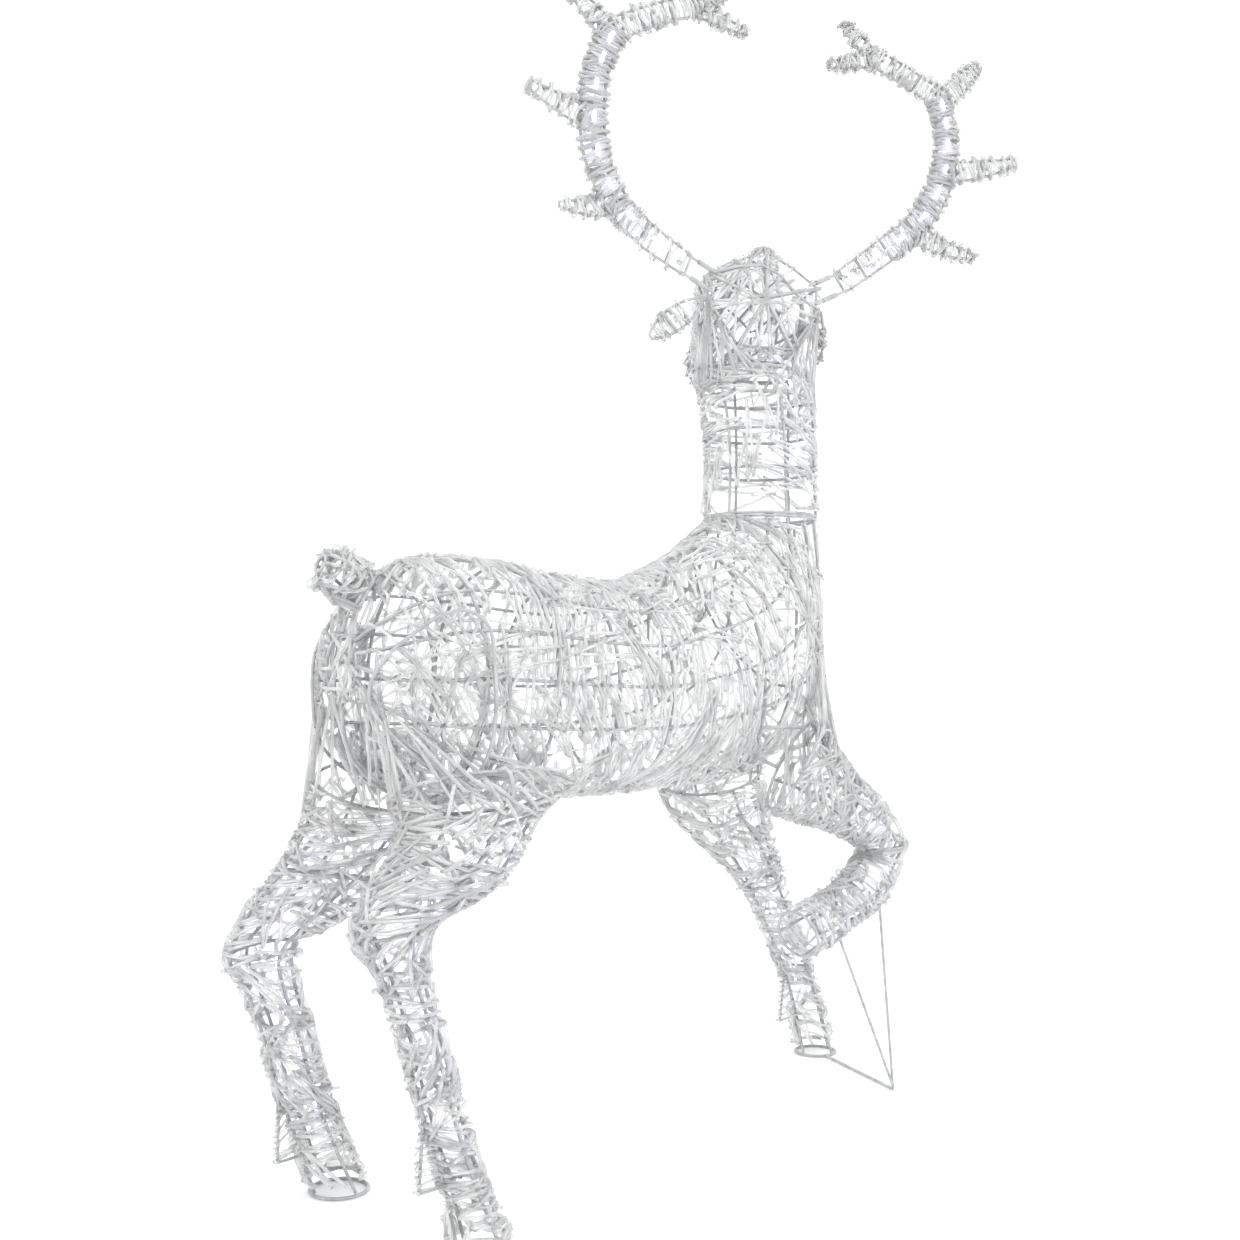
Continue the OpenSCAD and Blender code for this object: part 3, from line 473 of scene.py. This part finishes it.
def windingPatch(surface, s0, a0, heading, runMm, count, pitchMm, first=0.0, last=None):
    # one thread going to and fro across a patch, hooked round the frame at each turn
    last = len(surface["rings"]) - 1 if last is None else last
    along, around = scaleAt(surface, s0)
    dx, dy = math.cos(heading), math.sin(heading)
    points = []

    def spot(x, y, grow):
        s = s0 + x / along
        s = min(max(s, first), last)
        return surfacePoint(surface, s, a0 + y / around, grow)

    previous = None
    for i in range(count):
        half = (runMm / 2) * dice.uniform(0.7, 1.2) * (1 if i % 2 else -1)
        side = (i - count / 2) * pitchMm + dice.uniform(-0.95, 0.95) * pitchMm
        here = (dx * half - dy * side, dy * half + dx * side)
        if previous:
            for t in (0.3, 0.7):
                x = previous[0] + (here[0] - previous[0]) * t
                y = previous[1] + (here[1] - previous[1]) * t
                points.append(spot(x, y, dice.uniform(threadSettings["growLowMm"],
                                                      threadSettings["growHighMm"])))
        points.append(spot(here[0], here[1], threadSettings["growHighMm"]))
        for reach, grow in ((3, 2.5), (4, -1.5), (1.5, -2.5)):
            points.append(spot(here[0] + dx * math.copysign(reach, half) + dy * dice.uniform(-1, 1),
                               here[1] + dy * math.copysign(reach, half) + dx * dice.uniform(-1, 1),
                               grow))
        previous = here
    return (points, False)


evenTurn = (math.sqrt(5) - 1) / 2      # deals places evenly round a section


def wound(surface, patches, runMm, count, pitchMm, headings, spreadDeg=25, first=0.0, last=None):
    end = len(surface["rings"]) - 1 if last is None else last
    # patches are dealt by the area of each stretch so that the cover is even
    stretches = []
    steps = 24
    for i in range(steps):
        s = first + (end - first) * (i + 0.5) / steps
        along, around = scaleAt(surface, s)
        stretches.append(along * around)
    total = sum(stretches)
    lines = []
    carry = 0.0
    for i, area in enumerate(stretches):
        carry += patches * area / total
        while carry >= 1:
            carry -= 1
            s = first + (end - first) * (i + dice.random()) / steps
            turn = headings[len(lines) % len(headings)]
            heading = math.radians(turn + dice.uniform(-spreadDeg, spreadDeg))
            lines.append(windingPatch(surface, s, len(lines) * evenTurn % 1, heading,
                                      runMm * dice.uniform(0.6, 1.3),
                                      int(count * dice.uniform(0.6, 1.4)), pitchMm, first, end))
    return lines


def capThreads(surface, s, centre, count, push):
    # threads over the closed end of a section
    lines = []
    for i in range(count):
        a = dice.random()
        b = a + dice.uniform(0.25, 0.75)
        offset = Vector(push) * dice.uniform(0.4, 1.4)
        p, q = surfacePoint(surface, s, a, 2.5), surfacePoint(surface, s, b, 2.5)
        middle = (p + q) / 2 + offset
        lines.append(([p - Vector(push) * 0.5, p + offset * 0.6, middle, q + offset * 0.6,
                       q - Vector(push) * 0.5], False))
    for i in range(count // 2):
        a = i / (count // 2) + dice.uniform(-0.01, 0.01)
        p = surfacePoint(surface, s, a, 2.5)
        aside = Vector((0, dice.uniform(-6, 6), dice.uniform(-6, 6)))
        start = Vector(centre) + Vector(push) + aside
        lines.append(([start, (start + p) / 2 + Vector(push) * 0.6, p + Vector(push) * 0.5,
                       p - Vector(push) * 0.5], False))
    return lines


def curls(surface, first, last, count, sizeMm):
    # little loops of thread standing off the surface
    lines = []
    for i in range(count):
        s, a = dice.uniform(first, last), dice.random()
        centre = sectionAt(surface, s)[0]
        p = surfacePoint(surface, s, a, 3)
        out = (p - centre).normalized()
        side = out.cross(Vector((dice.uniform(-1, 1), dice.uniform(-1, 1), 1))).normalized()
        r = sizeMm * dice.uniform(0.6, 1.1)
        ring = [p + r * (out * (1 - math.cos(t)) + side * math.sin(t)) * 0.8
                for t in (2 * math.pi * k / 8 for k in range(9))]
        lines.append(([p - out * 4] + ring + [p - out * 4], False))
    return lines


def hubFans(surface, hubs, threads, reachMm):
    # threads that spread from one point on a rail
    lines = []
    for s, a in hubs:
        along, around = scaleAt(surface, s)
        start = dice.random() * 2 * math.pi
        for i in range(threads):
            t = start + 2 * math.pi * (i + dice.uniform(-0.3, 0.3)) / threads
            r = reachMm * dice.uniform(0.6, 1.2)
            points = [surfacePoint(surface, s + r * k * math.cos(t) / along,
                                   a + r * k * math.sin(t) / around, 4.5 - k)
                      for k in (0.04, 0.3, 0.6, 0.9, 1.0)]
            lines.append((points + [surfacePoint(surface, s + r * math.cos(t) / along,
                                                 a + r * math.sin(t) / around, -2)], False))
    return lines


def spikeThreads(surface, top, tip, first, last, count=11):
    # zigzags between the spike behind a fetlock and the leg
    points = []
    for i in range(count):
        t = i / (count - 1)
        wirePoint = Vector(top).lerp(Vector(tip), t)
        legPoint = surfacePoint(surface, first + (last - first) * t,
                                0.5 + dice.uniform(-0.06, 0.06), 2)
        away = (wirePoint - legPoint).normalized() * dice.uniform(2.5, 5)
        ends = [wirePoint + away + Vector((0, 2.5, 0)), wirePoint + away - Vector((0, 2.5, 0))]
        points += ends + [legPoint] if i % 2 else [legPoint] + ends
    return [(points, False)]


def makeThread(name, lines, body, nodes, onHead=False, smooth=False):
    return makeTubes(name, lines, threadSettings["radiusMm"], "clear_thread", body, nodes,
                     smooth=smooth, onHead=onHead)


def folded(t):
    # back into 0 to 1 without bunching at either end
    t = abs(t)
    return 2 - t if t > 1 else t


def bridgeThreads(high, highFrom, highTo, low, lowFrom, lowTo, count, strands, reach=(0.1, 0.9)):
    # zigzags that carry the winding over the seam between two sections
    lines = []
    for strand in range(strands):
        points = []
        for i in range(count):
            t = folded((i + dice.uniform(-1.5, 1.5)) / (count - 1))
            above = [highFrom[k] + (highTo[k] - highFrom[k]) * t for k in (0, 1)]
            t = folded((i + dice.uniform(-1.5, 1.5)) / (count - 1))
            below = [lowFrom[k] + (lowTo[k] - lowFrom[k]) * t for k in (0, 1)]
            p = surfacePoint(high, above[0], above[1] + dice.uniform(-0.03, 0.03), 4)
            q = surfacePoint(low, below[0] + dice.uniform(*reach), below[1], 4)
            near, far = (q, p) if i % 2 else (p, q)
            points += [near, near.lerp(far, 0.5), far]
        lines.append((points, False))
    return lines


bodyWound = {
    "upright": {"patches": 70, "runMm": 105, "count": 9, "pitchMm": 11,
                "headings": (90, 75, 105), "spreadDeg": 20},
    "crossing": {"patches": 42, "runMm": 100, "count": 8, "pitchMm": 12,
                 "headings": (0, 35, -35, 60), "spreadDeg": 30},
    "hubs": [(1.6, 0.48), (2.6, 0.46), (3.2, 0.53), (2.2, 0.56), (8.4, 0.42), (1.6, 0.02),
             (2.6, 0.04), (3.2, 0.97), (2.2, 0.94), (8.4, 0.08), (9.6, 0.5), (9.6, 0.0),
             (5.4, 0.55), (6.5, 0.95)],
    "hubThreads": 11, "hubReachMm": 78, "rumpCentre": (-508, 0, 597), "rumpThreads": 6}
makeThread("bodyThreadUpright", wound(bodyShape, **bodyWound["upright"]), "body",
           ["body_winding"])
makeThread("bodyThreadCrossing", wound(bodyShape, **bodyWound["crossing"])
           + hubFans(bodyShape, bodyWound["hubs"], bodyWound["hubThreads"],
                     bodyWound["hubReachMm"])
           + capThreads(bodyShape, 0, bodyWound["rumpCentre"], bodyWound["rumpThreads"],
                        (-5, 0, 0)), "body", ["body_winding"])

tailWound = {"patches": 9, "runMm": 30, "count": 6, "pitchMm": 7, "headings": (90, 60, 120, 0),
             "spreadDeg": 30}
makeThread("tailThread", wound(tailShape, **tailWound)
           + bridgeThreads(bodyShape, (0.2, 0.19), (0.9, 0.31), tailShape, (0, 0), (0, 1), 9, 2)
           + curls(tailShape, 1.6, 3.0, 11, 6.5), "body", ["tail_winding"])

# on a leg, top is where the body's winding carries over, as (s, a) from and to on the body
legWound = {"runMm": 64, "count": 8, "pitchMm": 9, "headings": (90, 60, 120, 20), "spreadDeg": 25}
legThreads = {
    "hindLegLeft": {"node": "hind_leg_left_winding", "shape": hindLeftShape, "patches": 54,
                    "last": 8.8, "top": ((0.5, -0.08), (3.5, -0.13)), "turns": 11, "strands": 2,
                    "rump": ((0.1, 0.85), (1.2, -0.04)), "curls": 22, "curlsTo": 8.5,
                    "spike": ((-502, 127, 122), (-502, 128, 53)), "spikeAt": (7.05, 8.2)},
    "hindLegRight": {"node": "hind_leg_right_winding", "shape": hindRightShape, "patches": 54,
                     "last": 8.8, "top": ((0.5, 0.58), (3.7, 0.63)), "turns": 11, "strands": 2,
                     "rump": ((0.1, 0.65), (1.2, 0.54)), "curls": 22, "curlsTo": 8.5,
                     "spike": ((-496, -127, 153), (-502, -128, 84)), "spikeAt": (7.05, 8.0)},
    "frontLegLeft": {"node": "front_leg_left_winding", "shape": frontLeftShape, "patches": 46,
                     "last": 6.8, "top": ((8.3, -0.12), (10.2, -0.2)), "turns": 10, "strands": 3,
                     "curls": 16, "curlsTo": 6.5,
                     "spike": ((363, 107, 136), (354, 108, 66)), "spikeAt": (5.05, 6.1)},
    "frontLegRight": {"node": "front_leg_right_winding", "shape": raisedShape, "patches": 44,
                      "runMm": 60, "last": 8.6, "top": ((8.6, 0.62), (10.8, 0.68)), "turns": 10,
                      "strands": 3, "curls": 18, "curlsTo": 8.5}}
for legName, leg in legThreads.items():
    shape = leg["shape"]
    settings = {**legWound, "patches": leg["patches"], "runMm": leg.get("runMm", legWound["runMm"])}
    lines = wound(shape, last=leg["last"], **settings)
    lines += bridgeThreads(bodyShape, *leg["top"], shape, (0, 0.5), (0, 0), leg["turns"],
                           leg["strands"])
    if "rump" in leg:
        lines += bridgeThreads(bodyShape, *leg["rump"], shape, (0, 0.75), (0, 0.42), 5, 1)
    if "spike" in leg:
        lines += spikeThreads(shape, *leg["spike"], *leg["spikeAt"])
    lines += curls(shape, 1, leg["curlsTo"], leg["curls"], 5)
    makeThread(legName + "Thread", lines, "body", [leg["node"]])

neckWound = {"patches": 26, "runMm": 84, "count": 8, "pitchMm": 11,
             "headings": (90, 90, 0, 70, 110), "spreadDeg": 14, "first": 0.15}
makeThread("neckThread", wound(neckShape, **neckWound), "head", ["neck_winding"], onHead=True)

headWound = {"patches": 24, "runMm": 66, "count": 8, "pitchMm": 9, "headings": (90, 60, 120, 0),
             "spreadDeg": 25}
makeThread("headThread", wound(headShape, **headWound)
           + capThreads(headShape, 0, backCentre, 18, (-4, 0, 0))
           + bridgeThreads(headShape, (0, 0.52), (0, 0.93), neckShape, (3, 0.75), (3, 0.25), 13, 3)
           + bridgeThreads(headShape, (0.2, 0.9), (2, 0.88), neckShape, (3, 0.25), (3, 0.03), 7, 1)
           + bridgeThreads(headShape, (0.2, 0.55), (2, 0.57), neckShape, (3, 0.75), (3, 0.97),
                           7, 1)
           + capThreads(headShape, 5, (190, 0, 1047), 8, (4, 0, 0)), "head", ["head_winding"],
           onHead=True)

earWound = {"patches": 5, "runMm": 34, "count": 6, "pitchMm": 7, "headings": (90, 75, 105),
            "spreadDeg": 20}
for sideName, shape in (("Left", earLeftShape), ("Right", earRightShape)):
    makeThread("ear" + sideName + "Thread", wound(shape, **earWound), "head",
               ["ear_" + sideName.lower() + "_winding"], onHead=True)

antlerWound = {"pitchMm": 13.5, "laps": 2, "edgeLoopMm": (1.0, 9.0), "strayEighths": 2.6,
               "curlMm": 3.2, "openLow": 1.5, "closeFrom": 2.2}
antlerPatches = {"runMm": 26, "count": 5, "pitchMm": 7, "headings": (90, 50, 130), "spreadDeg": 25}


def flatLaps(shape, pitchMm, laps, first=0.1):
    # a thread wound round and round a flat branch, its turns a little uneven
    last = len(shape["rings"]) - 1
    along = sum((shape["rings"][i + 1][0] - shape["rings"][i][0]).length for i in range(last))
    lines = []
    for lap in range(laps):
        turns = int(along / pitchMm)
        points = []
        for i in range(turns * 8):
            t = folded((i + dice.uniform(-1, 1) * antlerWound["strayEighths"]) / (turns * 8))
            a = i / 8 if lap % 2 == 0 else -i / 8
            atEdge = abs(math.cos(2 * math.pi * a))
            grow = 1.5 + atEdge ** 3 * dice.uniform(*antlerWound["edgeLoopMm"])
            points.append(surfacePoint(shape, first + (last - first) * t, a, grow))
        lines.append((points, False))
    return lines


for sideName in ("Left", "Right"):
    lines = []
    for name, shape in antlers[sideName].items():
        if name == "trunk":       # open zigzags near the head, closer turns above
            lines += flatLaps(shape, antlerWound["pitchMm"] * antlerWound["openLow"], 1)
            lines += flatLaps(shape, antlerWound["pitchMm"], antlerWound["laps"],
                              antlerWound["closeFrom"])
        else:
            lines += flatLaps(shape, antlerWound["pitchMm"], antlerWound["laps"])
        rings = len(shape["rings"])
        lines += curls(shape, 0.3, rings - 1, 3 * rings, antlerWound["curlMm"])
        lines += wound(shape, 6 if name == "trunk" else 2, **antlerPatches)
    makeThread("antler" + sideName + "Thread", lines, "antler_" + sideName.lower(),
               ["antler_" + sideName.lower() + "_winding"], onHead=True, smooth=True)
print("threads made")

# floor, light and camera: the wide floor keeps its edge out of sight
studio = {"floorSize": 400, "floorDrop": 0.0005, "floorColour": "FEFEFE", "floorRough": 0.9,
          "worldStrength": 1.28, "lightsLookAt": (0, 0, 0.7)}
bpy.ops.object.select_all(action="DESELECT")
bpy.ops.mesh.primitive_plane_add(size=studio["floorSize"], location=(0, 0, -studio["floorDrop"]))
floor = bpy.context.active_object
floor.name = "studioFloor"
floorMaterial, floorShader = newMaterial("paleFloor")     # matt paint: an even pale ground
floorShader.inputs["Base Color"].default_value = fromHex(studio["floorColour"])
floorShader.inputs["Roughness"].default_value = studio["floorRough"]
floor.data.materials.append(floorMaterial)

world = bpy.data.worlds.new("studio")
world.use_nodes = True
world.node_tree.nodes["Background"].inputs["Color"].default_value = (1, 1, 1, 1)
world.node_tree.nodes["Background"].inputs["Strength"].default_value = studio["worldStrength"]
bpy.context.scene.world = world

softboxes = {"over": {"spot": (-0.6, -0.8, 3.4), "size": 3.0, "watts": 34},
             "side": {"spot": (-2.6, 1.6, 2.0), "size": 2.0, "watts": 15},
             "front": {"spot": (1.4, -2.6, 1.8), "size": 2.0, "watts": 15}}
for name, softbox in softboxes.items():
    bpy.ops.object.light_add(type="AREA", location=softbox["spot"])
    box = bpy.context.active_object
    box.name = name + "Softbox"
    box.data.size = softbox["size"]
    box.data.energy = softbox["watts"]
    aim = Vector(studio["lightsLookAt"]) - Vector(softbox["spot"])
    box.rotation_euler = aim.to_track_quat("-Z", "Y").to_euler()

cameraPlace = {"spot": (-1.296, -1.228, 0.586), "toward": (0.7071, 0.7071, 0.0), "lens": 41.25,
               "sensorMm": 36, "shiftUp": 0.046}
cameraData = bpy.data.cameras.new("viewCamera")
cameraData.lens = cameraPlace["lens"]
cameraData.sensor_width = cameraPlace["sensorMm"]
cameraData.shift_y = cameraPlace["shiftUp"]
camera = bpy.data.objects.new("viewCamera", cameraData)
camera.location = cameraPlace["spot"]
camera.rotation_euler = Vector(cameraPlace["toward"]).to_track_quat("-Z", "Y").to_euler()
bpy.context.scene.collection.objects.link(camera)
bpy.context.scene.camera = camera
bpy.context.scene.view_settings.view_transform = "Standard"
print("floor, light and camera made")
